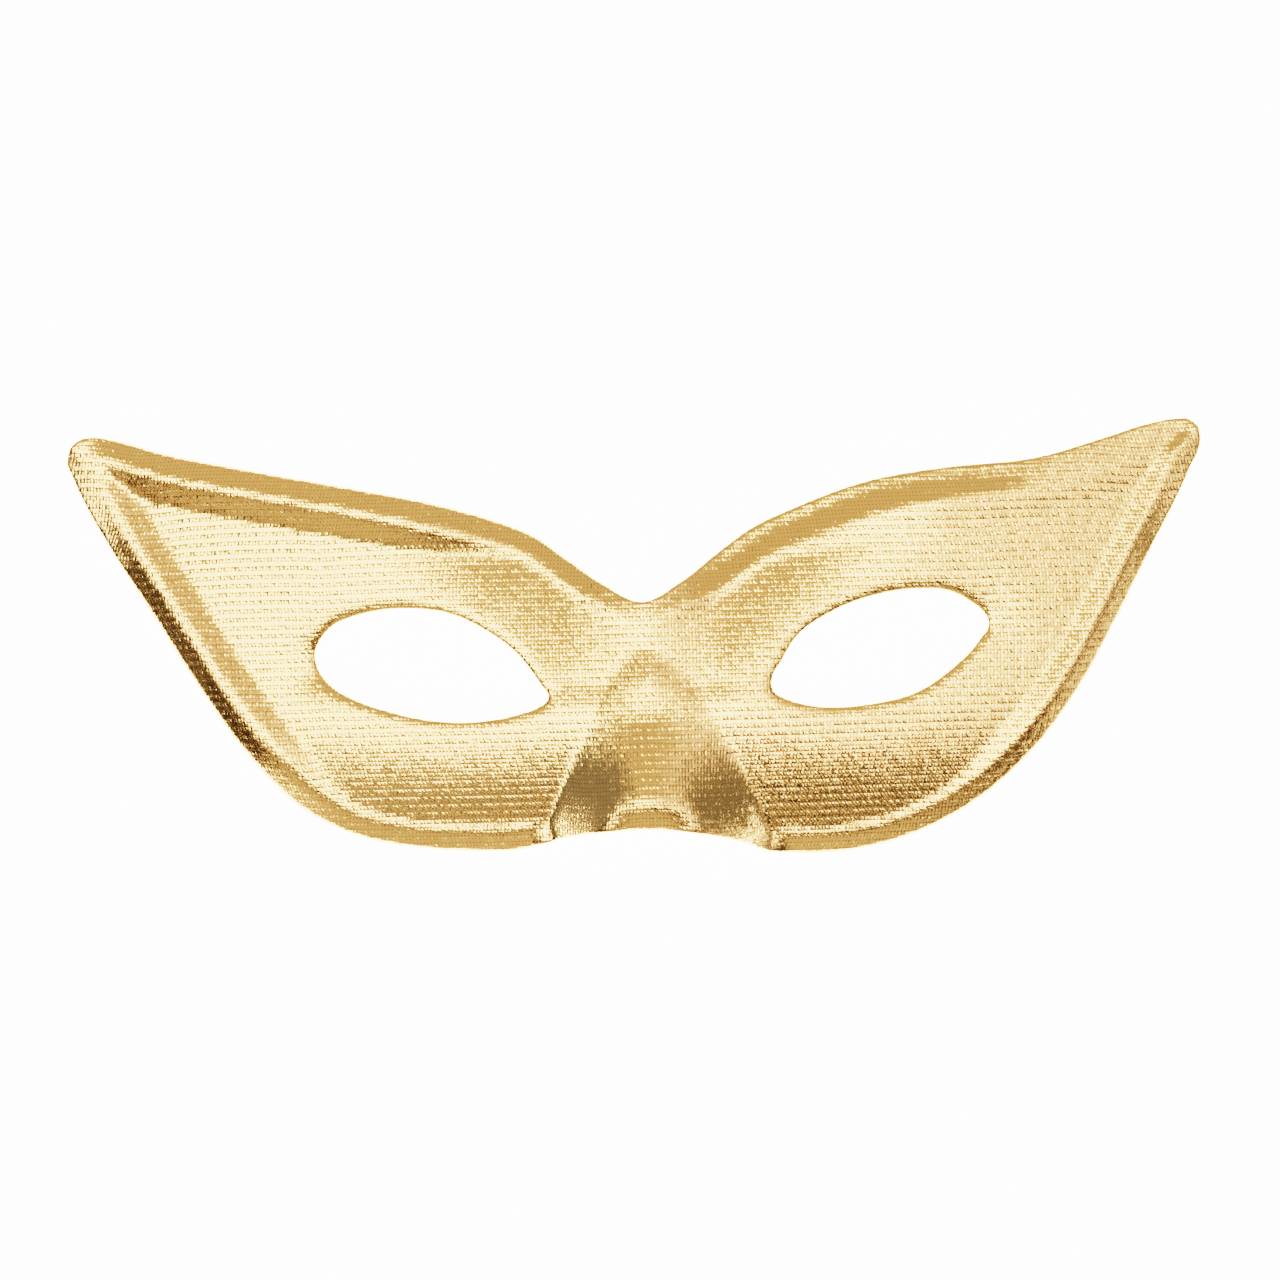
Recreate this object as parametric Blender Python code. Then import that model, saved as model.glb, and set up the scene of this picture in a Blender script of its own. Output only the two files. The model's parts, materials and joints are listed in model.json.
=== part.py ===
"""A moulded half mask with winged upper corners, made as one stiff shell.

The mask lies on its back, face up. +X runs across it to the viewer's right,
+Y runs up the face and +Z runs out of the face. Lengths are in metres and the
origin is under the middle of the mask, on the surface that it lies on.
"""
import math

import bmesh
import bpy
import numpy as np
from mathutils import Vector
from mathutils.geometry import delaunay_2d_cdt

# Overall sizes
MASK_WIDTH = 0.220
MASK_HEIGHT = 0.084
WALL = 0.0016
EDGE_THICKNESS = 0.0014
HEM_WIDTH = 0.0021
HEM_FLAT = 0.0008

# The bow of the shell over the face
WING_DROP = 0.0150
WING_DROP_START = 0.030
LEFT_LOBE_DROP = 0.0076
RIGHT_LOBE_DROP = 0.0065
LOBE_DROP_START = 0.010
LEAN = 0.085

# The turned-back border, the raised crest inside it and the step down to the panel
BORDER_WIDTH = 0.0038
BORDER_DROP = 0.0036
NOTCH_BORDER_EXTRA = 0.0046
NOTCH_BORDER_REACH = 0.0110
BORDER_ROUNDING = 1.4
CREST_RISE = 0.0016
CREST_WIDTH = 0.0030
CREST_STEP = 0.0046
CREST_END_UP = -0.036
CREST_FULL_UP = -0.020

# The nose: a half cone that opens downward
NOSE_TOP_UP = 0.0020
NOSE_END_UP = -0.0365
NOSE_LEFT_WIDTH = 0.0188
NOSE_RIGHT_WIDTH = 0.0236
NOSE_RISE = 0.0155
NOSE_FLARE = 0.78
NOSE_CLIMB = 1.1
NOSE_ROUNDING = 1.6
NOSE_ROLL = 0.0030
NOSE_ROLL_WIDTH = 0.0076
NOSE_SHIFT = -0.0002

# Eye openings
EYE_WIDTH = 0.0448
EYE_HEIGHT = 0.0224
LEFT_EYE_CENTRE = (-0.0420, -0.0037)
RIGHT_EYE_CENTRE = (0.0450, -0.0027)
EYE_LIP_WIDTH = 0.0022
EYE_LIP_DROP = 0.0012
EYE_LIP_ROUNDING = 1.5
EYE_SOCKET_DROP = 0.0013
EYE_SOCKET_REACH = 0.0060

# Flat seats on the back of the wings, for the ends of an elastic band
SEAT_SIZE = 0.0080
SEAT_ACROSS = 0.0800
SEAT_UP = 0.0180

# Spacing of the facets
OUTLINE_SPACING = 0.0036
EYE_SPACING = 0.0030
PANEL_SPACING = 0.0034
CURVE_STEPS = 24
NEAR_ENOUGH = 0.00004

# The outline from the notch between the brows, round each wing and lobe, to the nose.
# Each row is one place on it, as shares of half the width and half the height.
OUTLINE_COLUMNS = ("left_out", "left_up", "right_out", "right_up")
OUTLINE_ROWS = (
    (0.064, 0.257, 0.065, 0.267),
    (0.133, 0.394, 0.136, 0.404),
    (0.184, 0.494, 0.189, 0.501),
    (0.253, 0.571, 0.278, 0.605),
    (0.357, 0.651, 0.394, 0.707),
    (0.495, 0.729, 0.536, 0.765),
    (0.669, 0.824, 0.699, 0.801),
    (0.826, 0.916, 0.827, 0.889),
    (0.915, 0.984, 0.902, 0.946),
    (0.957, 1.000, 0.958, 0.968),
    (0.990, 0.964, 0.993, 0.949),
    (1.000, 0.905, 1.000, 0.870),
    (0.985, 0.780, 0.978, 0.732),
    (0.933, 0.508, 0.910, 0.386),
    (0.853, 0.157, 0.841, 0.042),
    (0.772, -0.194, 0.763, -0.301),
    (0.698, -0.475, 0.679, -0.574),
    (0.613, -0.717, 0.599, -0.754),
    (0.513, -0.860, 0.487, -0.910),
    (0.408, -0.923, 0.388, -0.982),
    (0.302, -0.947, 0.289, -1.000),
    (0.217, -0.942, 0.207, -0.977),
    (0.169, -0.908, 0.152, -0.924),
    (0.110, -0.876, 0.100, -0.891),
)
NOTCH_CENTRE = (-0.004, 0.180)
NOSE_ARCH_CENTRE = (-0.015, -0.860)

# An eye opening from its inner corner over the top and back underneath.
# Each row is one place, as shares of half the eye's width, away from the nose, and of half its height.
EYE_COLUMNS = ("left_out", "left_up", "right_out", "right_up")
EYE_ROWS = (
    (-1.041, -0.590, -0.930, -0.545),
    (-0.958, -0.307, -0.857, -0.252),
    (-0.801, 0.136, -0.693, 0.264),
    (-0.499, 0.614, -0.379, 0.677),
    (-0.195, 0.903, -0.066, 0.901),
    (0.112, 0.988, 0.353, 1.018),
    (0.523, 0.924, 0.667, 0.951),
    (0.836, 0.650, 0.876, 0.700),
    (0.945, 0.227, 0.989, 0.470),
    (0.848, -0.224, 0.870, 0.045),
    (0.646, -0.509, 0.656, -0.358),
    (0.341, -0.748, 0.337, -0.755),
    (-0.068, -0.941, -0.083, -0.938),
    (-0.479, -0.963, -0.395, -0.973),
    (-0.789, -0.859, -0.704, -0.870),
    (-0.997, -0.690, -0.908, -0.650),
)


def clear_scene():
    for thing in list(bpy.data.objects):
        bpy.data.objects.remove(thing, do_unlink=True)


def smooth_step(start, end, value):
    share = np.clip((value - start) / (end - start), 0.0, 1.0)
    return share * share * (3.0 - 2.0 * share)


def closed_curve(corners, spacing):
    """Even points along a smooth closed curve through the corners."""
    corners = np.array(corners)
    count = len(corners)
    chords = np.linalg.norm(np.roll(corners, -1, axis=0) - corners, axis=1)
    before = np.roll(chords, 1)
    ahead_slope = (np.roll(corners, -1, axis=0) - corners) / chords[:, None]
    behind_slope = np.roll(ahead_slope, 1, axis=0)
    tangents = (ahead_slope * before[:, None] + behind_slope * chords[:, None]) / (before + chords)[:, None]
    fine = []
    for i in range(count):
        j = (i + 1) % count
        for t in np.linspace(0.0, 1.0, CURVE_STEPS, endpoint=False):
            point = (2 * t ** 3 - 3 * t ** 2 + 1) * corners[i]
            point = point + (t ** 3 - 2 * t ** 2 + t) * chords[i] * tangents[i]
            point = point + (3 * t ** 2 - 2 * t ** 3) * corners[j]
            point = point + (t ** 3 - t ** 2) * chords[i] * tangents[j]
            fine.append(point)
    fine = np.array(fine)
    steps = np.linalg.norm(np.roll(fine, -1, axis=0) - fine, axis=1)
    along = np.concatenate([[0.0], np.cumsum(steps)])
    closed = np.vstack([fine, fine[:1]])
    places = np.linspace(0.0, along[-1], max(12, round(along[-1] / spacing)), endpoint=False)
    return np.column_stack([np.interp(places, along, closed[:, axis]) for axis in (0, 1)])


def mask_outline():
    """The outline, counter-clockwise from the notch, filling the named width and height."""
    half = np.array([MASK_WIDTH, MASK_HEIGHT]) / 2
    left = [(-row[0], row[1]) for row in OUTLINE_ROWS]
    right = [(row[2], row[3]) for row in reversed(OUTLINE_ROWS)]
    shares = np.array([NOTCH_CENTRE] + left + [NOSE_ARCH_CENTRE] + right)
    outline = closed_curve(shares * half, OUTLINE_SPACING)
    low = outline.min(axis=0)
    high = outline.max(axis=0)
    return (outline - (low + high) / 2) * 2 * half / (high - low)


def eye_outline(side):
    """One eye opening, counter-clockwise. side is -1 for the left eye and 1 for the right."""
    centre = LEFT_EYE_CENTRE if side < 0 else RIGHT_EYE_CENTRE
    first = EYE_COLUMNS.index("left_out" if side < 0 else "right_out")
    corners = []
    for row in EYE_ROWS:
        out = centre[0] + side * row[first] * EYE_WIDTH / 2
        up = centre[1] + row[first + 1] * EYE_HEIGHT / 2
        corners.append((out, up))
    if side > 0:
        corners.reverse()
    return closed_curve(corners, EYE_SPACING)


def nearest_on_loop(points, loop):
    """Distance from each point to a closed loop, and the nearest place on it."""
    points = np.asarray(points)
    run = np.roll(loop, -1, axis=0) - loop
    reach = points[:, None, :] - loop[None, :, :]
    share = np.clip((reach * run).sum(axis=2) / (run * run).sum(axis=1), 0.0, 1.0)
    places = loop[None, :, :] + share[:, :, None] * run[None, :, :]
    gaps = np.linalg.norm(points[:, None, :] - places, axis=2)
    best = gaps.argmin(axis=1)
    rows = np.arange(len(points))
    return gaps[rows, best], places[rows, best]


def inside_loop(points, loop):
    """True for each point that a closed loop goes round."""
    x, y = np.asarray(points).T
    inside = np.zeros(len(x), dtype=bool)
    for a, b in zip(loop, np.roll(loop, -1, axis=0)):
        crosses = (a[1] > y) != (b[1] > y)
        rise = b[1] - a[1] if b[1] != a[1] else 1.0
        inside ^= crosses & (x < a[0] + (y - a[1]) * (b[0] - a[0]) / rise)
    return inside


def offset_ring(loop, distance, inward):
    """The points of a loop moved sideways, without those that come too near another stretch of it."""
    ahead = np.roll(loop, -1, axis=0) - np.roll(loop, 1, axis=0)
    ahead = ahead / np.linalg.norm(ahead, axis=1)[:, None]
    sideways = np.column_stack([-ahead[:, 1], ahead[:, 0]])
    ring = loop + sideways * (distance if inward else -distance)
    gaps = nearest_on_loop(ring, loop)[0]
    return ring[gaps > distance - 5 * NEAR_ENOUGH]


def bow_height(points):
    """The wide bow of the shell, before its border, crest, nose and eyes."""
    x, y = points.T
    wing = np.clip((np.abs(x) - WING_DROP_START) / (MASK_WIDTH / 2 - WING_DROP_START), 0.0, 1.0)
    lobe = np.clip((-LOBE_DROP_START - y) / (MASK_HEIGHT / 2 - LOBE_DROP_START), 0.0, 1.0)
    rightness = smooth_step(-NOSE_LEFT_WIDTH, NOSE_RIGHT_WIDTH, x)
    lobe_drop = LEFT_LOBE_DROP + (RIGHT_LOBE_DROP - LEFT_LOBE_DROP) * rightness
    return LEAN * y - WING_DROP * wing ** 2 - lobe_drop * lobe ** 2


def nose_reach(side, y):
    """How far the nose runs to one side before it meets the cheek. side is -1 for left and 1 for right."""
    share = np.clip((NOSE_TOP_UP - y) / (NOSE_TOP_UP - NOSE_END_UP), 0.001, 1.2)
    return np.where(side < 0, NOSE_LEFT_WIDTH, NOSE_RIGHT_WIDTH) * share ** NOSE_FLARE


def nose_height(points):
    """How far the nose stands out of the bow."""
    x, y = points.T
    share = np.clip((NOSE_TOP_UP - y) / (NOSE_TOP_UP - NOSE_END_UP), 0.0, 1.2)
    out = x - NOSE_SHIFT
    across = np.clip(np.abs(out) / nose_reach(out, y), 0.0, 1.0)
    return NOSE_RISE * share ** NOSE_CLIMB * (1.0 - across ** NOSE_ROUNDING)


def front_height(points, outline, eyes):
    """Height of the front surface over the points, before the mask is laid down."""
    x, y = points.T
    from_edge = nearest_on_loop(points, outline)[0]
    from_eye = np.minimum(*[nearest_on_loop(points, eye)[0] for eye in eyes])
    near_notch = np.exp(-(x / NOTCH_BORDER_REACH) ** 2) * (y > 0)
    border = BORDER_WIDTH + NOTCH_BORDER_EXTRA * near_notch
    turned = np.clip(1.0 - from_edge / border, 0.0, 1.0) ** BORDER_ROUNDING
    crest_end = border + CREST_WIDTH
    crest = 1.0 - smooth_step(crest_end, crest_end + CREST_STEP, from_edge)
    crest = crest * smooth_step(CREST_END_UP, CREST_FULL_UP, y)
    lip = np.clip(1.0 - from_eye / EYE_LIP_WIDTH, 0.0, 1.0) ** EYE_LIP_ROUNDING
    socket = np.exp(-(from_eye / EYE_SOCKET_REACH) ** 2)
    nose = nose_height(points)
    nose_end = np.clip(1.0 - from_edge / NOSE_ROLL_WIDTH, 0.0, 1.0) ** 2 * (y < 0)
    raised = nose + CREST_RISE * crest
    lowered = BORDER_DROP * turned + EYE_LIP_DROP * lip + EYE_SOCKET_DROP * socket
    lowered = lowered + NOSE_ROLL * nose_end * nose / NOSE_RISE
    return bow_height(points) + raised - lowered


def front_slope(points, outline, eyes):
    """How steep the front surface is at each point."""
    rises = []
    for move in ((WALL / 4, 0.0), (0.0, WALL / 4)):
        ahead = front_height(points + np.array(move), outline, eyes)
        behind = front_height(points - np.array(move), outline, eyes)
        rises.append((ahead - behind) / (WALL / 2))
    return np.hypot(rises[0], rises[1])


def back_height(points, front, outline, eyes):
    """Height of the back surface: one wall behind the front, with a flat hem along the edge."""
    from_edge, places = nearest_on_loop(points, outline)
    stretch = np.sqrt(1.0 + front_slope(points, outline, eyes) ** 2)
    back = front - WALL * np.clip(stretch, 1.0, 1.5)
    hem = front_height(places, outline, eyes) - EDGE_THICKNESS
    in_hem = from_edge < HEM_WIDTH + NEAR_ENOUGH
    return np.where(in_hem, np.minimum(hem, front - EDGE_THICKNESS), back)


def seat_outline(side):
    """The square edge of a band's seat, counter-clockwise, with a point halfway along each side."""
    half = SEAT_SIZE / 2
    steps = np.array([(-1, -1), (0, -1), (1, -1), (1, 0), (1, 1), (0, 1), (-1, 1), (-1, 0)])
    return np.array([side * SEAT_ACROSS, SEAT_UP]) + half * steps


def crease_lines(outline):
    """The nose's ridge and the two creases where its sides meet the cheeks."""
    count = round((NOSE_TOP_UP - NOSE_END_UP) / PANEL_SPACING)
    y = np.linspace(NOSE_TOP_UP, NOSE_END_UP, count + 1)[1:]
    lines = [np.column_stack([NOSE_SHIFT + side * nose_reach(side, y), y]) for side in (-1, 0, 1)]
    return [line[nearest_on_loop(line, outline)[0] > HEM_WIDTH + PANEL_SPACING / 4] for line in lines]


def hex_grid(spacing):
    """Points over the whole mask in rows that are half a step apart."""
    points = []
    row_step = spacing * math.sqrt(3) / 2
    for row in range(math.ceil(MASK_HEIGHT / row_step) + 1):
        shift = spacing / 2 * (row % 2)
        for column in range(math.ceil(MASK_WIDTH / spacing) + 1):
            points.append((column * spacing + shift - MASK_WIDTH / 2, row * row_step - MASK_HEIGHT / 2))
    return np.array(points)


def chain_gaps(points, chains):
    """Distance from each point to the nearest point of the chains."""
    corners = np.vstack(chains)
    return np.linalg.norm(points[:, None, :] - corners[None, :, :], axis=2).min(axis=1)


def shell_layout(outline, eyes, seats, creases):
    """The loops that facets follow over the mask, and loose points that fill the rest of it."""
    crest_foot = BORDER_WIDTH + CREST_WIDTH + CREST_STEP
    outer_rings = (HEM_WIDTH, BORDER_WIDTH, BORDER_WIDTH + CREST_WIDTH, crest_foot)
    eye_rings = (EYE_LIP_WIDTH / 2, EYE_LIP_WIDTH, 2 * EYE_LIP_WIDTH)
    loops = [outline] + eyes + seats
    loops += [offset_ring(outline, distance, True) for distance in outer_rings]
    loops += [offset_ring(eye, distance, False) for eye in eyes for distance in eye_rings]
    loops[5:] = [loop[chain_gaps(loop, creases) > PANEL_SPACING / 2] for loop in loops[5:]]
    grid = hex_grid(PANEL_SPACING)
    keep = inside_loop(grid, outline)
    keep &= nearest_on_loop(grid, outline)[0] > crest_foot + PANEL_SPACING / 2
    for eye in eyes:
        keep &= ~inside_loop(grid, eye)
        keep &= nearest_on_loop(grid, eye)[0] > eye_rings[-1] + PANEL_SPACING / 2
    for seat in seats:
        keep &= nearest_on_loop(grid, seat)[0] > PANEL_SPACING / 3
    keep &= chain_gaps(grid, creases) > PANEL_SPACING / 2
    return loops, grid[keep]


def facets_over(points, edges, outline, eyes):
    """Triangles over the points, inside the outline and outside the eyes, each counter-clockwise."""
    flat = [Vector((x, y)) for x, y in points]
    meshed = delaunay_2d_cdt(flat, edges, [], 0, 1e-7)
    places = np.array([(place.x, place.y) for place in meshed[0]])
    faces = np.array(meshed[2])
    middles = places[faces].mean(axis=1)
    keep = inside_loop(middles, outline)
    for eye in eyes:
        keep &= ~inside_loop(middles, eye)
    return places, faces[keep]


def seat_back(places, back, seats):
    """The back surface with each band's seat made flat, in the plane of its lowest corner."""
    back = back.copy()
    half = SEAT_SIZE / 2
    for seat in seats:
        middle = seat.mean(axis=0)
        on_seat = np.abs(places - middle).max(axis=1) < half + NEAR_ENOUGH
        left, right, low, high = bow_height(middle + half * np.array([(-1, 0), (1, 0), (0, -1), (0, 1)]))
        slope = np.array([right - left, high - low]) / SEAT_SIZE
        rise = (places - middle) @ slope
        back[on_seat] = (back - rise)[on_seat].min() + rise[on_seat]
    return back


def chain_edges(chains, closed):
    """Neighbouring points of each chain, numbered through all of them, where they lie close together."""
    edges = []
    start = 0
    longest = 1.8 * max(OUTLINE_SPACING, SEAT_SIZE / 2)
    for chain in chains:
        count = len(chain)
        for i in range(count if closed else count - 1):
            j = (i + 1) % count
            if np.linalg.norm(chain[i] - chain[j]) < longest:
                edges.append((start + i, start + j))
        start += count
    return edges


def shell_mesh():
    """The whole shell as one closed mesh."""
    outline = mask_outline()
    eyes = [eye_outline(side) for side in (-1, 1)]
    seats = [seat_outline(side) for side in (-1, 1)]
    creases = crease_lines(outline)
    loops, grid = shell_layout(outline, eyes, seats, creases)
    edges = chain_edges(loops, True)
    first = sum(len(loop) for loop in loops)
    edges += [(first + a, first + b) for a, b in chain_edges(creases, False)]
    places, faces = facets_over(np.vstack(loops + creases + [grid]), edges, outline, eyes)
    front = front_height(places, outline, eyes)
    back = seat_back(places, back_height(places, front, outline, eyes), seats)
    floor = front_height(outline, outline, eyes).min() - EDGE_THICKNESS + HEM_FLAT
    front = front - floor
    back = np.maximum(back - floor, 0.0)

    mesh = bmesh.new()
    top = [mesh.verts.new((x, y, z)) for (x, y), z in zip(places, front)]
    under = [mesh.verts.new((x, y, z)) for (x, y), z in zip(places, back)]
    for a, b, c in faces:
        mesh.faces.new((top[a], top[b], top[c]))
        mesh.faces.new((under[c], under[b], under[a]))
    sides = {(face[i], face[(i + 1) % 3]) for face in faces.tolist() for i in range(3)}
    for a, b in sorted(sides):
        if (b, a) not in sides:
            mesh.faces.new((under[a], under[b], top[b], top[a]))
    return mesh


def cloth_material():
    """Gold lame stuck over a moulded shell."""
    material = bpy.data.materials.new("gold_lame")
    material.use_nodes = True
    shader = material.node_tree.nodes["Principled BSDF"]
    shader.inputs["Base Color"].default_value = (0.62, 0.38, 0.10, 1.0)
    shader.inputs["Metallic"].default_value = 0.8
    shader.inputs["Roughness"].default_value = 0.38
    return material


def build_shell():
    bm = shell_mesh()
    data = bpy.data.meshes.new("mask_shell")
    bm.to_mesh(data)
    bm.free()
    data.materials.append(cloth_material())
    shell = bpy.data.objects.new("mask_shell", data)
    bpy.context.scene.collection.objects.link(shell)
    data.shade_smooth()
    data.set_sharp_from_angle(angle=math.radians(40))
    return shell


clear_scene()
build_shell()
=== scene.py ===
import json
import math

import bmesh
import bpy
import numpy as np
from mathutils import Matrix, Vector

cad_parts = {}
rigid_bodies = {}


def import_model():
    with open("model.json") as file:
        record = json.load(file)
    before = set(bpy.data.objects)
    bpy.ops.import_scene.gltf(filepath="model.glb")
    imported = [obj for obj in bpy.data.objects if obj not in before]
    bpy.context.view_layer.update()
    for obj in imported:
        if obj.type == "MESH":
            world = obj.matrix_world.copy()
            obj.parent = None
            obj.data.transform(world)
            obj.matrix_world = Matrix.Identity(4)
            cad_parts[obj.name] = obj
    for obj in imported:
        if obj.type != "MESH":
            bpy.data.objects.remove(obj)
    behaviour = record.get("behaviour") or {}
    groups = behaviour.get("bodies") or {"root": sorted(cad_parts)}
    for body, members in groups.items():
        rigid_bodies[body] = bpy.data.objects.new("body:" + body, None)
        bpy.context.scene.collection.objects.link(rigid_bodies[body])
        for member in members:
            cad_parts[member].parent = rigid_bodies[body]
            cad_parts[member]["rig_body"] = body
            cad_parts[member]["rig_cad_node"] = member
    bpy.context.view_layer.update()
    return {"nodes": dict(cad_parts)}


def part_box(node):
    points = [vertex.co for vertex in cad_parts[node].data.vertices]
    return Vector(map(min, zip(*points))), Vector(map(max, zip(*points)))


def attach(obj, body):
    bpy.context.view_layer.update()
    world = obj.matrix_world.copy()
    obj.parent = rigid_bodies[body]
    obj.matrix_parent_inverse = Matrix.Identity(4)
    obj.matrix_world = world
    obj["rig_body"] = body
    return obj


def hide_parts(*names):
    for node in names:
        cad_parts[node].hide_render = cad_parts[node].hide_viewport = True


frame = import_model()


# The blank. The mask is cut from one piece of gold lame, stiffened with size, to the outline
# of the part's front with both eye openings. The outline is taken off the CAD shell's front.

BLANK_THICKNESS = 0.0016
CLOTH_FINENESS = 0.00056
ARC_STEPS = 6
ON_THE_FRONT = 0.02
SAME_PLACE = 0.00001


def pick_only(thing):
    bpy.ops.object.select_all(action="DESELECT")
    thing.select_set(True)
    bpy.context.view_layer.objects.active = thing


def cut_blank():
    """A flat blank of even small quads, with the outline and the eye openings of the CAD shell."""
    pick_only(frame["nodes"]["mask_shell"])
    bpy.ops.object.duplicate()
    blank = bpy.context.active_object
    blank.name = "lame_shell"
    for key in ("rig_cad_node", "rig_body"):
        if key in blank:
            del blank[key]
    blank.parent = None
    blank.data.materials.clear()

    bpy.ops.object.mode_set(mode="EDIT")
    bpy.ops.mesh.select_all(action="SELECT")
    bpy.ops.mesh.remove_doubles(threshold=SAME_PLACE)
    bpy.ops.mesh.select_all(action="DESELECT")
    bpy.ops.mesh.select_mode(type="FACE")
    mesh = bmesh.from_edit_mesh(blank.data)
    mesh.normal_update()
    for face in mesh.faces:
        face.select = face.normal.z < ON_THE_FRONT
    bmesh.update_edit_mesh(blank.data)
    bpy.ops.mesh.delete(type="FACE")

    bpy.ops.mesh.select_mode(type="EDGE")
    bpy.ops.mesh.select_all(action="SELECT")
    bpy.ops.transform.resize(value=(1.0, 1.0, 0.0), center_override=(0.0, 0.0, 0.0))
    mesh = bmesh.from_edit_mesh(blank.data)
    for edge in mesh.edges:
        edge.select = len(edge.link_faces) == 2
    bmesh.update_edit_mesh(blank.data)
    bpy.ops.mesh.delete(type="EDGE")
    bpy.ops.object.mode_set(mode="OBJECT")

    bpy.ops.object.convert(target="CURVE")
    bpy.ops.object.mode_set(mode="EDIT")
    bpy.ops.curve.select_all(action="SELECT")
    bpy.ops.curve.spline_type_set(type="BEZIER")
    bpy.ops.curve.handle_type_set(type="AUTOMATIC")
    bpy.ops.object.mode_set(mode="OBJECT")
    blank.data.dimensions = "2D"
    blank.data.resolution_u = ARC_STEPS
    lines = outline_of(blank.data)
    blank.data.fill_mode = "BOTH"
    blank.data.extrude = BLANK_THICKNESS / 2
    bpy.ops.object.convert(target="MESH")
    blank.data.remesh_voxel_size = CLOTH_FINENESS
    blank.data.remesh_voxel_adaptivity = 0.0
    bpy.ops.object.voxel_remesh()
    return blank, lines


def outline_of(curve):
    """The closed lines of the curve as arrays of points, longest first."""
    lines = []
    for spline in curve.splines:
        points = spline.bezier_points
        line = []
        for here, ahead in zip(points, list(points[1:]) + [points[0]]):
            for step in range(ARC_STEPS):
                t = step / ARC_STEPS
                place = here.co * (1 - t) ** 3 + here.handle_right * (3 * t * (1 - t) ** 2)
                place = place + ahead.handle_left * (3 * t * t * (1 - t)) + ahead.co * t ** 3
                line.append((place.x, place.y))
        lines.append(np.array(line))
    lines.sort(key=len, reverse=True)
    return lines


shell, cut_lines = cut_blank()


# The pressing. The damp blank is pressed over a mould, which gives it the bow over the face, the
# brow bevel, the nose, the turned-back border, the crest inside it and the eye lips. The threads
# follow the surface, and a few creases stay where the cloth gathers.

MOULD_STEP = 0.0004
MOULD_REACH = (0.1144, 0.0464)
MOULD_SOFTNESS = 0.0006
BLUR_SPREADS = 3
POINTS_AT_ONCE = 2000


def ease(start, end, value):
    """Nought up to the start, one from the end on, and a smooth climb between them."""
    share = np.clip((value - start) / (end - start), 0.0, 1.0)
    return share * share * (3.0 - 2.0 * share)


def gap_inside(line, points):
    """Distance from each point to a closed line, below nought outside it."""
    run = np.roll(line, -1, axis=0) - line
    length = (run * run).sum(axis=1)
    ahead = np.roll(line, -1, axis=0)
    turn = np.sign((line[:, 0] * ahead[:, 1] - ahead[:, 0] * line[:, 1]).sum())
    gaps = []
    for some in np.array_split(points, max(1, len(points) // POINTS_AT_ONCE)):
        reach = some[:, None, :] - line[None, :, :]
        share = np.clip((reach * run).sum(axis=2) / length, 0.0, 1.0)
        gap = np.linalg.norm(reach - share[:, :, None] * run, axis=2)
        nearest = gap.argmin(axis=1)
        rows = np.arange(len(some))
        step, way = reach[rows, nearest], run[nearest]
        side = np.sign(way[:, 0] * step[:, 1] - way[:, 1] * step[:, 0]) * turn
        gaps.append(gap[rows, nearest] * np.where(side < 0, -1.0, 1.0))
    return np.concatenate(gaps)


def soften(heights, width):
    """The heights of the mould blurred over a width."""
    reach = int(np.ceil(BLUR_SPREADS * width / MOULD_STEP))
    steps = np.arange(-reach, reach + 1)
    shares = np.exp(-0.5 * (steps * MOULD_STEP / width) ** 2)
    shares = shares / shares.sum()
    for axis in (0, 1):
        pad = [(reach, reach) if axis == other else (0, 0) for other in (0, 1)]
        wide = np.pad(heights, pad, mode="edge")
        span = heights.shape[axis]
        heights = sum(s * wide.take(range(k, k + span), axis=axis) for k, s in enumerate(shares))
    return heights


# The bow: a lean down to the cheeks, and the falls to the wing tips and to the two lobes.

LEAN = 0.085
WING_DROP = 0.0165
WING_DROP_START = 0.018
WING_CURVE = 1.35
LOBE_DROPS = (0.0088, 0.0078)
LOBE_DROP_START = 0.007
NOSE_WIDTHS = (0.0195, 0.0238)


def bow_form(x, y):
    half_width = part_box("mask_shell")[1].x
    half_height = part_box("mask_shell")[1].y
    wing = np.clip((np.abs(x) - WING_DROP_START) / (half_width - WING_DROP_START), 0.0, 1.0)
    lobe = np.clip((-LOBE_DROP_START - y) / (half_height - LOBE_DROP_START), 0.0, 1.0)
    rightness = ease(-NOSE_WIDTHS[0], NOSE_WIDTHS[1], x)
    lobe_drop = LOBE_DROPS[0] + (LOBE_DROPS[1] - LOBE_DROPS[0]) * rightness
    return LEAN * y - WING_DROP * wing ** WING_CURVE - lobe_drop * lobe ** 2


# The bevel that falls from the inner eye corners up to the brow, nearly level at the bridge.

BROW_SLOPE = 0.335
BROW_DEPTH = 0.0218
BROW_BEND = 0.005
BROW_FADE = (0.022, 0.060)
BROW_FOOT = (-0.014, -0.008)
BRIDGE_SHARE = 0.12
BRIDGE_SPAN = (0.000, 0.020)


def brow_form(x, y, from_edge):
    above = BROW_DEPTH - from_edge
    bevel = BROW_SLOPE * (above + np.sqrt(above ** 2 + BROW_BEND ** 2)) / 2.0
    share = BRIDGE_SHARE + (1.0 - BRIDGE_SHARE) * ease(*BRIDGE_SPAN, np.abs(x))
    return -bevel * share * (1.0 - ease(*BROW_FADE, np.abs(x))) * ease(*BROW_FOOT, y)


# The nose: a ridge that climbs to its lower edge, with steep sides that flare towards its foot.

NOSE_SPAN = (-0.0365, -0.0020)
NOSE_SHIFT = -0.0002
NOSE_FLARE = 0.62
NOSE_FLARE_END = 1.2
NOSE_ROUNDING = 0.33
NOSE_HEAD = 0.0015
NOSE_HEAD_SPAN = (0.0000, -0.0095)
RIDGE_SLOPES = (-0.12, 0.29)
RIDGE_BEND = (-0.0095, -0.0180)
RIDGE_RUN_ON = 0.008
RIDGE_LEVELS = 400
NARROWEST = 0.001


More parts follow.
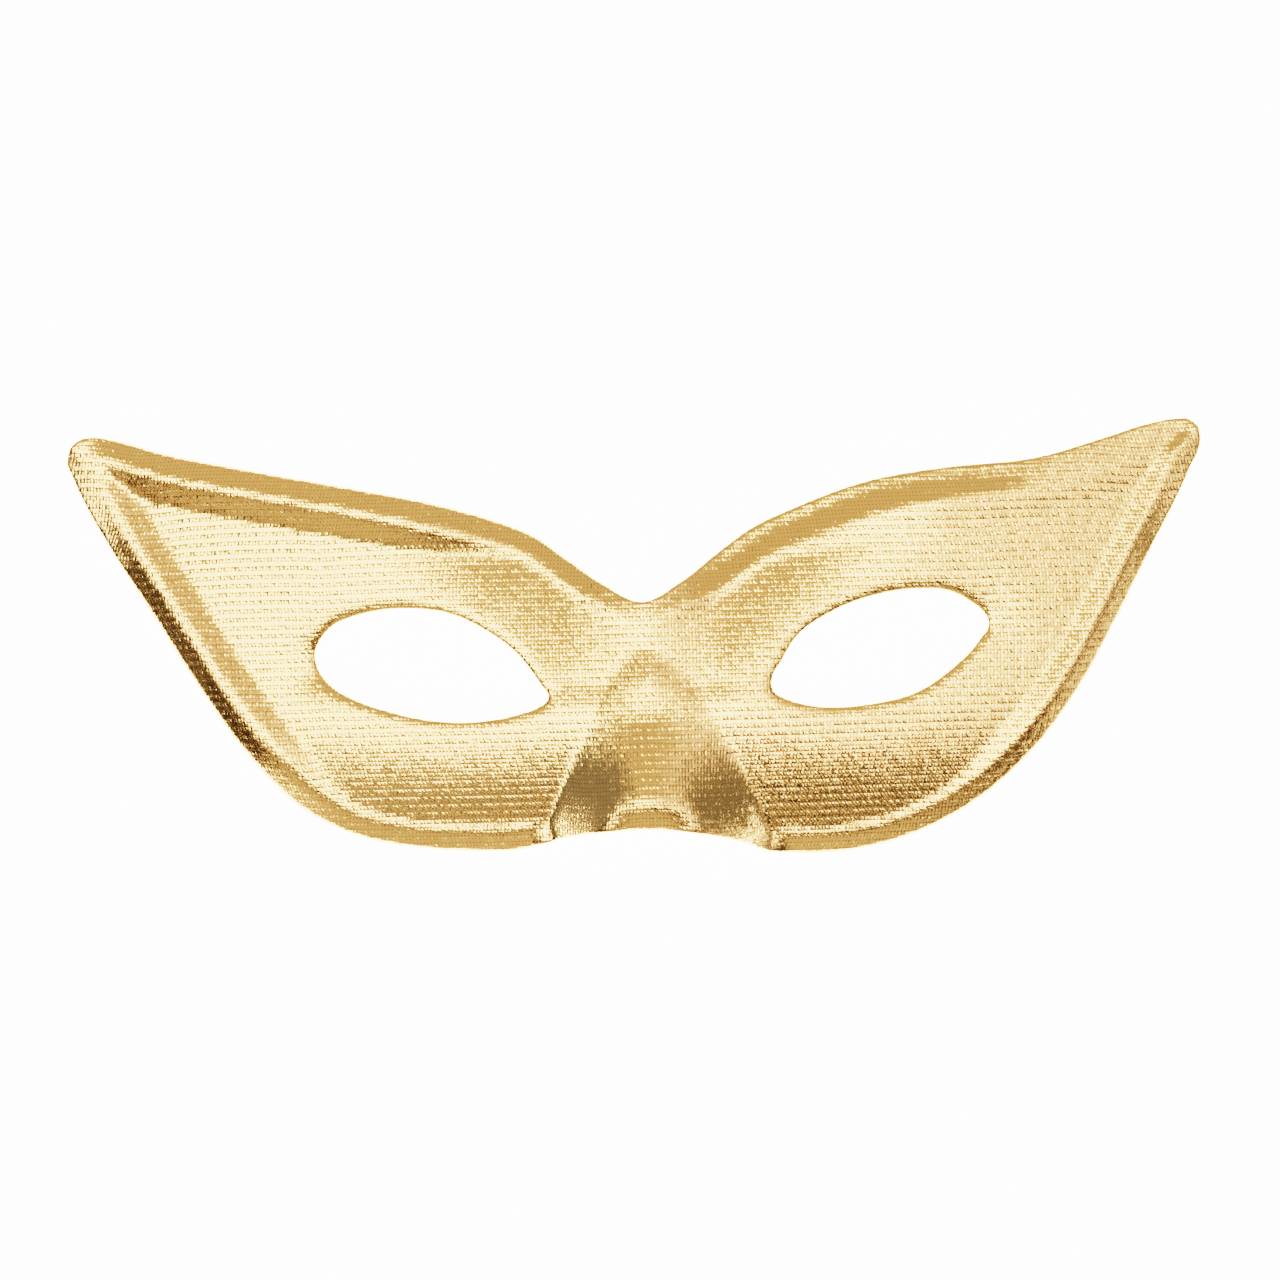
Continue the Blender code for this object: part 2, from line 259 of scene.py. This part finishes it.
def nose_form(x, y):
    bottom, top = NOSE_SPAN
    down = np.clip((top - y) / (top - bottom), 0.0, NOSE_FLARE_END)
    out = x - NOSE_SHIFT
    reach = np.where(out < 0, NOSE_WIDTHS[0], NOSE_WIDTHS[1])
    reach = reach * np.maximum(down, NARROWEST) ** NOSE_FLARE
    across = np.clip(np.abs(out) / reach, 0.0, 1.0)
    whole = math.sqrt(1.0 + NOSE_ROUNDING ** 2) - NOSE_ROUNDING
    shape = 1.0 - (np.sqrt(across ** 2 + NOSE_ROUNDING ** 2) - NOSE_ROUNDING) / whole
    levels = np.linspace(top, bottom - RIDGE_RUN_ON, RIDGE_LEVELS)
    slopes = RIDGE_SLOPES[0] + (RIDGE_SLOPES[1] - RIDGE_SLOPES[0]) * ease(*RIDGE_BEND, levels)
    ridge = np.cumsum(slopes) * (levels[0] - levels[1])
    risen = np.interp(-y, -levels, ridge) + bow_form(0.0, top) - bow_form(0.0 * x, y)
    risen = risen + NOSE_HEAD * ease(*NOSE_HEAD_SPAN, y)
    return np.maximum(risen, 0.0) * (y < top) * shape


# The border, turned back all round. It is flatter at the notch and tips, wider with a level rim
# on the right brow, lost in the sides of the nose, and rolled over at the nose's lower edge.

BORDER_WIDTH = 0.0037
BORDER_SLOPE = 0.70
BROW_BORDER_SLOPE = 0.58
NOTCH_FLATTENING = 0.95
TIP_SLOPE = 0.36
TIP_FLATTENING = 0.9
NOSE_BORDER_SLOPE = 0.02
NOSE_BORDER_SPAN = (0.002, 0.010)
NOSE_ROLL = 0.0013
NOSE_ROLL_BORDER = 0.0010
NOSE_ROLL_SPAN = (0.004, 0.011)
RIGHT_BROW_BORDER = 0.0058
RIGHT_BROW_END = (0.060, 0.082)
RIM_SLOPE = 0.08
RIGHT_BROW_RIM = 0.0027
RIM_END = (0.075, 0.095)
RIGHT_HALF = (0.0, 0.02)
FACING_UP = (0.2, 0.6)
NOTCH_SPAN = (0.005, 0.016)
TIP_SPAN = (0.096, 0.107)
LOBE_SPAN = (-0.034, -0.018)
NOSE_FOOT = (1.0, 1.2)


def parts_of_the_edge(x, y, out_y):
    """How far each point belongs to each part of the edge, from nought to one."""
    nose_side = np.abs(x - NOSE_SHIFT) / np.where(x < NOSE_SHIFT, NOSE_WIDTHS[0], NOSE_WIDTHS[1])
    return {
        "right": ease(*RIGHT_HALF, x),
        "brow": ease(*FACING_UP, out_y),
        "notch": (1.0 - ease(*NOTCH_SPAN, np.abs(x))) * (y > 0),
        "tip": ease(*TIP_SPAN, np.abs(x)),
        "lobe": 1.0 - ease(*LOBE_SPAN, y),
        "nose": (1.0 - ease(*NOSE_FOOT, nose_side)) * (y < 0),
    }


def border_form(x, from_edge, at):
    """The border's width, how far each point lies out over it, and how far it drops there."""
    rolled = at["nose"] * (1.0 - ease(*NOSE_ROLL_SPAN, np.abs(x)))
    width = BORDER_WIDTH + (RIGHT_BROW_BORDER - BORDER_WIDTH) * at["right"] * at["brow"]
    width = width + NOSE_ROLL_BORDER * rolled
    turned = width - from_edge
    turned = (turned + np.sqrt(turned ** 2 + (NOSE_ROLL * rolled) ** 2)) / 2.0

    slope = BORDER_SLOPE + (BROW_BORDER_SLOPE - BORDER_SLOPE) * at["brow"]
    slope = slope * (1.0 - NOTCH_FLATTENING * at["notch"])
    slope = slope + (TIP_SLOPE - slope) * at["tip"]
    slope = slope + (NOSE_BORDER_SLOPE - slope) * at["nose"] * ease(*NOSE_BORDER_SPAN, np.abs(x))
    slope = slope * (1.0 - ease(*RIGHT_BROW_END, x) * at["brow"])
    slope = slope * (1.0 - TIP_FLATTENING * at["tip"] * at["brow"])
    rim = RIGHT_BROW_RIM * at["right"] * at["brow"]
    rim = rim * (1.0 - ease(*RIM_END, x)) * (1.0 - at["notch"])
    drop = slope * turned + (RIM_SLOPE - slope) * np.clip(rim - from_edge, 0.0, rim)
    return width, turned, drop


# The crest inside the border, and the step from it down to the panel.

CREST_RISE = 0.0026
CREST_WIDTH = 0.0017
CREST_STEP = 0.0042
RIGHT_CREST_RISE = 0.0013
RIGHT_BROW_RISE = 0.0004
RIGHT_CREST_WIDTH = 0.0006
RIGHT_CREST_STEP = 0.0034
LOBE_CREST_RISE = 0.0007
LOBE_CREST_STEP = 0.0016
BRIDGE_CREST_RISE = 0.0006
BRIDGE_CREST_STEP = 0.0013
BRIDGE_CREST_SPAN = (0.018, 0.045)
BRIDGE_CREST_FOOT = -0.010
NOTCH_CREST_SPAN = (0.002, 0.010)


def crest_form(x, y, from_border, at):
    right, brow, lobe = at["right"], at["brow"], at["lobe"]
    right_rise = RIGHT_CREST_RISE + (RIGHT_BROW_RISE - RIGHT_CREST_RISE) * brow
    rise = CREST_RISE + (right_rise - CREST_RISE) * right
    rise = rise + (LOBE_CREST_RISE - rise) * lobe
    width = CREST_WIDTH + (RIGHT_CREST_WIDTH - CREST_WIDTH) * right * (1.0 - brow)
    width = width * (1.0 - lobe)
    step = CREST_STEP + (RIGHT_CREST_STEP - CREST_STEP) * right
    step = step + (LOBE_CREST_STEP - step) * lobe

    away = ease(*BRIDGE_CREST_SPAN, np.abs(x))
    upper = y > BRIDGE_CREST_FOOT
    rise = np.where(upper, BRIDGE_CREST_RISE + (rise - BRIDGE_CREST_RISE) * away, rise)
    step = np.where(upper, BRIDGE_CREST_STEP + (step - BRIDGE_CREST_STEP) * away, step)
    share = 1.0 - np.clip((from_border - width * away) / step, 0.0, 1.0)
    return rise * share * (1.0 - at["nose"]) * ease(*NOTCH_CREST_SPAN, np.abs(x))


# The eye lips and sockets, and the dips at the outer eye corners and beside the nose's head. Each
# dip is its place, its depth and its reach. A few creases lie over the right eye.

EYE_LIP_WIDTH = 0.0016
EYE_LIP_DROP = 0.0007
EYE_LIP_CURVE = 1.5
EYE_SOCKET_DROP = 0.0004
EYE_SOCKET_REACH = 0.0060
DIPS = (
    (-0.0620, -0.0035, 0.0012, 0.0055),
    (0.0670, 0.0045, 0.0003, 0.0055),
    (-0.0115, -0.0100, 0.0003, 0.0052),
    (0.0125, -0.0100, 0.0003, 0.0052),
)
CREASE_PLACE = (0.046, 0.0245)
CREASE_REACH = (0.009, 0.0022)
CREASE_SLANT = 0.22
CREASE_SPACING = 0.0014
CREASE_RISE = 0.00007


def eye_drop(x, y, from_eye):
    drop = EYE_LIP_DROP * np.clip(1.0 - from_eye / EYE_LIP_WIDTH, 0.0, 1.0) ** EYE_LIP_CURVE
    drop = drop + EYE_SOCKET_DROP * np.exp(-(from_eye / EYE_SOCKET_REACH) ** 2)
    for dip_x, dip_y, depth, reach in DIPS:
        drop = drop + depth * np.exp(-(np.hypot(x - dip_x, y - dip_y) / reach) ** 2)
    return drop


def crease_form(x, y):
    along = x - CREASE_PLACE[0]
    over = y - CREASE_PLACE[1] - CREASE_SLANT * along
    patch = np.exp(-(along / CREASE_REACH[0]) ** 2 - (over / CREASE_REACH[1]) ** 2)
    return CREASE_RISE * patch * np.cos(2.0 * math.pi * over / CREASE_SPACING)


# The whole mould. The border's curve is laid on the form at its inner line and falls from there.

NEXT_TO_NOTHING = 1e-9


def mould_heights(x, y, from_edge, from_eye):
    """Height of the mould over a grid, from its gaps to the outline and to the eye openings."""
    out_y, out_x = np.gradient(-from_edge, MOULD_STEP)
    out_x, out_y = soften(out_x, MOULD_STEP), soften(out_y, MOULD_STEP)
    size = np.hypot(out_x, out_y) + NEXT_TO_NOTHING
    out_x, out_y = out_x / size, out_y / size
    at = parts_of_the_edge(x, y, out_y)
    width, turned, border_drop = border_form(x, from_edge, at)
    in_x, in_y = x - out_x * turned, y - out_y * turned
    heights = bow_form(in_x, in_y) + nose_form(in_x, in_y)
    heights = heights + brow_form(in_x, in_y, from_edge + turned)
    heights = heights + crest_form(x, y, from_edge - width, at)
    heights = heights - border_drop - eye_drop(x, y, from_eye)
    return soften(heights, MOULD_SOFTNESS) + crease_form(x, y)


def over_mould(grid, places):
    """The value of a mould grid over each place, by a smooth curve through its nearest steps."""
    spots = (places + np.array(MOULD_REACH)) / MOULD_STEP
    whole = np.floor(spots).astype(int)
    t = spots - whole
    curve = (-0.5 * t + t ** 2 - 0.5 * t ** 3, 1.0 - 2.5 * t ** 2 + 1.5 * t ** 3,
             0.5 * t + 2.0 * t ** 2 - 1.5 * t ** 3, -0.5 * t ** 2 + 0.5 * t ** 3)
    total = 0.0
    for j in range(4):
        for i in range(4):
            near = grid[whole[:, 1] + j - 1, whole[:, 0] + i - 1]
            total = total + curve[i][:, 0] * curve[j][:, 1] * near
    return total


# The hem is thicker than the rest and lies flat on the table where the mask touches it.

HEM_WIDTH = 0.0021
HEM_THICKNESS = 0.0022
HEM_FLAT = 0.0008


def press_shell():
    """Presses the blank, lays the thread coordinates and gives each vertex's gap to the edge."""
    steps_x = int(round(2 * MOULD_REACH[0] / MOULD_STEP)) + 1
    steps_y = int(round(2 * MOULD_REACH[1] / MOULD_STEP)) + 1
    x, y = np.meshgrid(np.arange(steps_x) * MOULD_STEP - MOULD_REACH[0],
                       np.arange(steps_y) * MOULD_STEP - MOULD_REACH[1])
    points = np.column_stack([x.ravel(), y.ravel()])
    from_edge = gap_inside(cut_lines[0], points).reshape(x.shape)
    from_eye = -np.maximum(gap_inside(cut_lines[1], points), gap_inside(cut_lines[2], points))
    mould = mould_heights(x, y, from_edge, from_eye.reshape(x.shape))

    mesh = shell.data
    places = np.zeros(len(mesh.vertices) * 3)
    mesh.vertices.foreach_get("co", places)
    places = places.reshape(-1, 3)
    flat = places[:, :2].copy()
    depth = np.clip(places[:, 2] / BLANK_THICKNESS + 0.5, 0.0, 1.0)
    edge_gap = over_mould(from_edge, flat)
    thickness = np.where(edge_gap < HEM_WIDTH, HEM_THICKNESS, BLANK_THICKNESS)
    lowest = over_mould(mould, cut_lines[0]).min()
    front = over_mould(mould, flat) - lowest + HEM_THICKNESS - HEM_FLAT
    places[:, 2] = np.maximum(front - thickness * (1.0 - depth), 0.0)
    mesh.vertices.foreach_set("co", places.ravel())

    fall_y, fall_x = np.gradient(mould, MOULD_STEP)
    run_x = np.cumsum(np.sqrt(1.0 + fall_x ** 2), axis=1) * MOULD_STEP
    run_y = np.cumsum(np.sqrt(1.0 + fall_y ** 2), axis=0) * MOULD_STEP
    run_x = run_x - run_x[:, [steps_x // 2]]
    run_y = run_y - run_y[[steps_y // 2], :]
    cloth = np.column_stack([over_mould(run_x, flat), over_mould(run_y, flat)])
    corners = np.zeros(len(mesh.loops), dtype=int)
    mesh.loops.foreach_get("vertex_index", corners)
    threads = mesh.uv_layers.new(name="threads")
    threads.data.foreach_set("uv", cloth[corners].ravel())
    mesh.update()
    return edge_gap


edge_gaps = press_shell()
pick_only(shell)
bpy.ops.object.shade_smooth()


# The cloth's finish. Gold lame is woven of flat strips of metallised film, so each float is a
# small mirror with a tilt of its own, and the gaps between them get painted shade. The reverse is
# dulled by the size that stiffens the shell. The threads are as far apart as in the photograph.

THREADS_ACROSS = 0.00068
THREADS_UP = 0.00082
FILM_GOLD = "FDC079"
FILM_SHADOW = "8A5A1E"
FILM_ROUGHNESS = 0.16
FILM_METALLIC = 1.0
REVERSE_GOLD = "B08D52"
REVERSE_SHADOW = "6E5128"
REVERSE_ROUGHNESS = 0.45
REVERSE_METALLIC = 0.7
ROUGHNESS_SPREAD = (0.8, 1.3)

# A float's curl across it and along it, its twist, the stray of each float, and the share of all
# these that every other row keeps. Painted shade darkens the gap at a float's corners over the
# last range.
FLOAT_TILT = 0.26
FLOAT_CROWN = 0.13
FLOAT_TWIST = 0.15
FLOAT_STRAY = 0.22
WEAK_ROWS = 0.35
CORNER_SHADE = (0.35, 0.85)

# The cloth is pulled tight where it is steep, on the border and the sides of the nose, so its
# floats lie flatter there. The range is of how far the surface faces up.
TIGHT = (0.80, 0.95)
TIGHT_SHARE = 0.40

# The film is crinkled finer than this. It is drawn 0.3 mm wide, so that it shows as sparkle.
GRAIN = 0.00030
GRAIN_TILT = 0.30


def add(tree, kind, settings=None, **inputs):
    """Adds a node with its settings and inputs, and gives its first output.

    An input is a value or the socket that feeds it, and _0 means the first input.
    """
    node = tree.nodes.new(kind)
    for name, value in (settings or {}).items():
        setattr(node, name, value)
    for name, value in inputs.items():
        place = int(name[1:]) if name.startswith("_") else name
        if isinstance(value, bpy.types.NodeSocket):
            tree.links.new(value, node.inputs[place])
        else:
            node.inputs[place].default_value = value
    return node.outputs[0]


def paint(code):
    """A hex colour as linear RGBA."""
    parts = [int(code[i:i + 2], 16) / 255 for i in (0, 2, 4)]
    linear = [c / 12.92 if c <= 0.04045 else ((c + 0.055) / 1.055) ** 2.4 for c in parts]
    return (*linear, 1.0)


def woven_film(name, bright, shadow, roughness, metallic):
    """Metal gives the clear gold, low roughness its mirrors, and a tilt per float its sparkle."""
    material = bpy.data.materials.new(name)
    material.use_nodes = True
    tree = material.node_tree
    shader = tree.nodes["Principled BSDF"]
    shader.inputs["Metallic"].default_value = metallic

    cloth = add(tree, "ShaderNodeUVMap", {"uv_map": "threads"})
    counts = add(tree, "ShaderNodeVectorMath", {"operation": "DIVIDE"}, _0=cloth,
                 _1=(THREADS_ACROSS, THREADS_UP, 1.0))
    cell = add(tree, "ShaderNodeVectorMath", {"operation": "FLOOR"}, _0=counts)
    inside = add(tree, "ShaderNodeVectorMath", {"operation": "FRACTION"}, _0=counts)
    lean = add(tree, "ShaderNodeVectorMath", {"operation": "MULTIPLY_ADD"}, _0=inside,
               _1=(2.0, 2.0, 0.0), _2=(-1.0, -1.0, 0.0))
    number = add(tree, "ShaderNodeSeparateXYZ", _0=cell).node.outputs
    both = add(tree, "ShaderNodeMath", {"operation": "ADD"}, _0=number[0], _1=number[1])
    weft_up = add(tree, "ShaderNodeMath", {"operation": "FLOORED_MODULO"}, _0=both, _1=2.0)
    row = add(tree, "ShaderNodeMath", {"operation": "FLOORED_MODULO"}, _0=number[1], _1=2.0)
    strength = add(tree, "ShaderNodeMapRange", _0=row, _1=0.0, _2=1.0, _3=WEAK_ROWS, _4=1.0)

    form = add(tree, "ShaderNodeMix", {"data_type": "VECTOR"}, _0=weft_up,
               _4=(FLOAT_TILT, FLOAT_CROWN, 0.0), _5=(FLOAT_CROWN, FLOAT_TILT, 0.0))
    curl = add(tree, "ShaderNodeVectorMath", {"operation": "MULTIPLY"}, _0=lean,
               _1=form.node.outputs[1])
    across = add(tree, "ShaderNodeSeparateXYZ", _0=lean)
    twist = add(tree, "ShaderNodeMath", {"operation": "MULTIPLY"}, _0=across, _1=FLOAT_TWIST)
    twist = add(tree, "ShaderNodeCombineXYZ", _0=0.0, _1=twist, _2=0.0)
    curl = add(tree, "ShaderNodeVectorMath", {"operation": "ADD"}, _0=curl, _1=twist)
    chance = add(tree, "ShaderNodeTexWhiteNoise", {"noise_dimensions": "2D"}, _0=cell)
    stray = add(tree, "ShaderNodeVectorMath", {"operation": "MULTIPLY_ADD"},
                _0=chance.node.outputs["Color"], _1=(FLOAT_STRAY, FLOAT_STRAY, 0.0),
                _2=(-FLOAT_STRAY / 2, -FLOAT_STRAY / 2, 0.0))
    tilt = add(tree, "ShaderNodeVectorMath", {"operation": "ADD"}, _0=curl, _1=stray)
    tilt = add(tree, "ShaderNodeVectorMath", {"operation": "SCALE"}, _0=tilt, Scale=strength)

    surface = add(tree, "ShaderNodeNewGeometry").node.outputs["Normal"]
    facing_up = add(tree, "ShaderNodeSeparateXYZ", _0=surface).node.outputs[2]
    slack = add(tree, "ShaderNodeMapRange", _0=facing_up, _1=TIGHT[0], _2=TIGHT[1],
                _3=TIGHT_SHARE, _4=1.0)
    tilt = add(tree, "ShaderNodeVectorMath", {"operation": "SCALE"}, _0=tilt, Scale=slack)
    grain = add(tree, "ShaderNodeVectorMath", {"operation": "SCALE"}, _0=cloth, Scale=1.0 / GRAIN)
    grain = add(tree, "ShaderNodeTexNoise", {"noise_dimensions": "2D"}, Vector=grain,
                Scale=1.0, Detail=1.0)
    grain = add(tree, "ShaderNodeVectorMath", {"operation": "MULTIPLY_ADD"},
                _0=grain.node.outputs["Color"], _1=(GRAIN_TILT, GRAIN_TILT, 0.0),
                _2=(-GRAIN_TILT / 2, -GRAIN_TILT / 2, 0.0))
    tilt = add(tree, "ShaderNodeVectorMath", {"operation": "ADD"}, _0=tilt, _1=grain)
    normal = add(tree, "ShaderNodeVectorMath", {"operation": "ADD"}, _0=surface, _1=tilt)
    normal = add(tree, "ShaderNodeVectorMath", {"operation": "NORMALIZE"}, _0=normal)
    tree.links.new(normal, shader.inputs["Normal"])

    # Painted shade: the gap at each float's corners is mixed towards the shadow colour, less on
    # the weak rows.
    edges = add(tree, "ShaderNodeVectorMath", {"operation": "ABSOLUTE"}, _0=lean)
    near = add(tree, "ShaderNodeSeparateXYZ", _0=edges).node.outputs
    corner = add(tree, "ShaderNodeMath", {"operation": "MULTIPLY"}, _0=near[0], _1=near[1])
    gap = add(tree, "ShaderNodeMapRange", {"interpolation_type": "SMOOTHSTEP"}, _0=corner,
              _1=CORNER_SHADE[0], _2=CORNER_SHADE[1], _3=0.0, _4=1.0)
    gap = add(tree, "ShaderNodeMath", {"operation": "MULTIPLY"}, _0=gap, _1=strength)
    colour = add(tree, "ShaderNodeMix", {"data_type": "RGBA"}, _0=gap, _6=paint(bright),
                 _7=paint(shadow))
    tree.links.new(colour.node.outputs[2], shader.inputs["Base Color"])
    rough = add(tree, "ShaderNodeMapRange", _0=chance, _1=0.0, _2=1.0,
                _3=roughness * ROUGHNESS_SPREAD[0], _4=roughness * ROUGHNESS_SPREAD[1])
    tree.links.new(rough, shader.inputs["Roughness"])
    return material


shell.data.materials.append(
    woven_film("gold_lame_weave", FILM_GOLD, FILM_SHADOW, FILM_ROUGHNESS, FILM_METALLIC))
shell.data.materials.append(
    woven_film("sized_lame_reverse", REVERSE_GOLD, REVERSE_SHADOW, REVERSE_ROUGHNESS,
               REVERSE_METALLIC))
normals = np.zeros(len(shell.data.polygons) * 3)
shell.data.polygons.foreach_get("normal", normals)
facing_down = normals.reshape(-1, 3)[:, 2] < 0.0
corner_gaps = np.array([edge_gaps[face.vertices[0]] for face in shell.data.polygons])
slots = np.where(facing_down & (corner_gaps > HEM_WIDTH), 1, 0)
shell.data.polygons.foreach_set("material_index", slots)
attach(shell, "root")
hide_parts("mask_shell")


# The stage. The mask lies on a lit opal table under a dome of soft light: one wide soft box
# overhead with a dimmer right part, dark strips below it, dark screens at the sides and low down,
# and a bright bounce low at the right. To the camera the dome is plain white.

FLOOR_SIZE = 6.0
FLOOR_GAP = 0.0002
FLOOR_WHITE = "E8E8E8"
FLOOR_ROUGHNESS = 0.6
FLOOR_GLOW = 7.0

bpy.ops.mesh.primitive_plane_add(size=FLOOR_SIZE, location=(0.0, 0.0, -FLOOR_GAP))
floor = bpy.context.active_object
floor.name = "floor"
floor_finish = bpy.data.materials.new("opal_acrylic_table")
floor_finish.use_nodes = True
floor_shader = floor_finish.node_tree.nodes["Principled BSDF"]
floor_shader.inputs["Base Color"].default_value = paint(FLOOR_WHITE)
floor_shader.inputs["Roughness"].default_value = FLOOR_ROUGHNESS
floor_shader.inputs["Emission Color"].default_value = (1.0, 1.0, 1.0, 1.0)
floor_shader.inputs["Emission Strength"].default_value = FLOOR_GLOW
floor.data.materials.append(floor_finish)

# Each screen is its reach from straight up, to the right and to the back, in degrees, with the
# half width of its soft edge, its radiance and its tint.
DOME = "DCD2C6"
BACKDROP = 8.0
SCREENS = (
    ("soft_box", (-46.0, 46.0), (-31.0, 7.0), 4.0, 5.0, "FFFFFF"),
    ("soft_box_dim_part", (24.0, 60.0), (-26.0, 26.0), 11.0, 1.5, "FFF1F6"),
    ("left_screen", (-180.0, -44.0), (-24.0, 66.0), 6.0, 0.30, "DEF1FF"),
    ("right_screen", (50.0, 180.0), (-26.0, 66.0), 6.0, 0.23, "EAF8FF"),
    ("low_left_screen", (-180.0, -42.0), (-66.0, -22.0), 5.0, 0.04, "FFFFFF"),
    ("low_right_screen", (34.0, 60.0), (-66.0, -30.0), 5.0, 0.05, "FFFFFF"),
    ("low_right_bounce", (66.0, 180.0), (-70.0, -26.0), 5.0, 1.4, "FFF4F4"),
    ("dark_strip", (-12.0, 40.0), (-50.0, -31.0), 4.0, 0.05, "FFFFFF"),
    ("dark_strip_left", (-40.0, -12.0), (-50.0, -31.0), 4.0, 0.40, "FFFFFF"),
)


def hang_studio():
    """Paints the screens on the dome, each over the ones before it."""
    world = bpy.data.worlds.new("studio")
    world.use_nodes = True
    tree = world.node_tree
    way = add(tree, "ShaderNodeTexCoord")
    upward = add(tree, "ShaderNodeSeparateXYZ", _0=way).node.outputs[2]
    steep = add(tree, "ShaderNodeMath", {"operation": "ARCCOSINE"}, _0=upward)
    steep = add(tree, "ShaderNodeMath", {"operation": "DEGREES"}, _0=steep)
    level = add(tree, "ShaderNodeVectorMath", {"operation": "MULTIPLY"}, _0=way,
                _1=(1.0, 1.0, 0.0))
    level = add(tree, "ShaderNodeVectorMath", {"operation": "NORMALIZE"}, _0=level)
    level = add(tree, "ShaderNodeVectorMath", {"operation": "SCALE"}, _0=level, Scale=steep)
    light = paint(DOME)
    for name, wide, high, soft, radiance, tint in SCREENS:
        middle = ((wide[0] + wide[1]) / 2, (high[0] + high[1]) / 2, 0.0)
        half = ((wide[1] - wide[0]) / 2, (high[1] - high[0]) / 2)
        gap = add(tree, "ShaderNodeVectorMath", {"operation": "SUBTRACT"}, _0=level, _1=middle)
        gap = add(tree, "ShaderNodeVectorMath", {"operation": "ABSOLUTE"}, _0=gap)
        gaps = add(tree, "ShaderNodeSeparateXYZ", _0=gap).node.outputs
        cover = 1.0
        for axis in (0, 1):
            inside = add(tree, "ShaderNodeMapRange", {"interpolation_type": "SMOOTHSTEP"},
                         _0=gaps[axis], _1=half[axis] - soft, _2=half[axis] + soft,
                         _3=1.0, _4=0.0)
            cover = add(tree, "ShaderNodeMath", {"operation": "MULTIPLY"}, _0=inside, _1=cover)
        colour = tuple(radiance * c for c in paint(tint)[:3]) + (1.0,)
        light = add(tree, "ShaderNodeMix", {"data_type": "RGBA", "label": name}, _0=cover,
                    _6=light, _7=colour)
        light = light.node.outputs[2]
    to_camera = add(tree, "ShaderNodeLightPath")
    light = add(tree, "ShaderNodeMix", {"data_type": "RGBA"}, _0=to_camera, _6=light,
                _7=(BACKDROP, BACKDROP, BACKDROP, 1.0))
    tree.links.new(light.node.outputs[2], tree.nodes["Background"].inputs["Color"])
    bpy.context.scene.world = world


hang_studio()

# The camera is turned a little to one side and rolled, as in the photograph. Its shift is in
# pixels of the photograph.
CAMERA_DISTANCE = 0.9
AIM_HEIGHT = 0.0185
FRAME_WIDTH = 0.24397
FRAME_PIXELS = 1280
CAMERA_SHIFT = (-5.4, 1.3)
CAMERA_YAW = math.radians(2.5)
CAMERA_ROLL = math.radians(1.5)
CLIP_END = 20.0

bpy.ops.object.camera_add()
camera = bpy.context.active_object
turn = Matrix.Rotation(-CAMERA_YAW, 4, "Y") @ Matrix.Rotation(-CAMERA_ROLL, 4, "Z")
aim = Matrix.Translation((0, 0, AIM_HEIGHT))
camera.matrix_world = aim @ turn @ Matrix.Translation((0, 0, CAMERA_DISTANCE))
camera.data.lens = camera.data.sensor_width * CAMERA_DISTANCE / FRAME_WIDTH
camera.data.shift_x = CAMERA_SHIFT[0] / FRAME_PIXELS
camera.data.shift_y = CAMERA_SHIFT[1] / FRAME_PIXELS
camera.data.clip_end = CLIP_END
bpy.context.scene.camera = camera
bpy.context.scene.view_settings.view_transform = "Filmic"
bpy.context.scene.view_settings.look = "High Contrast"
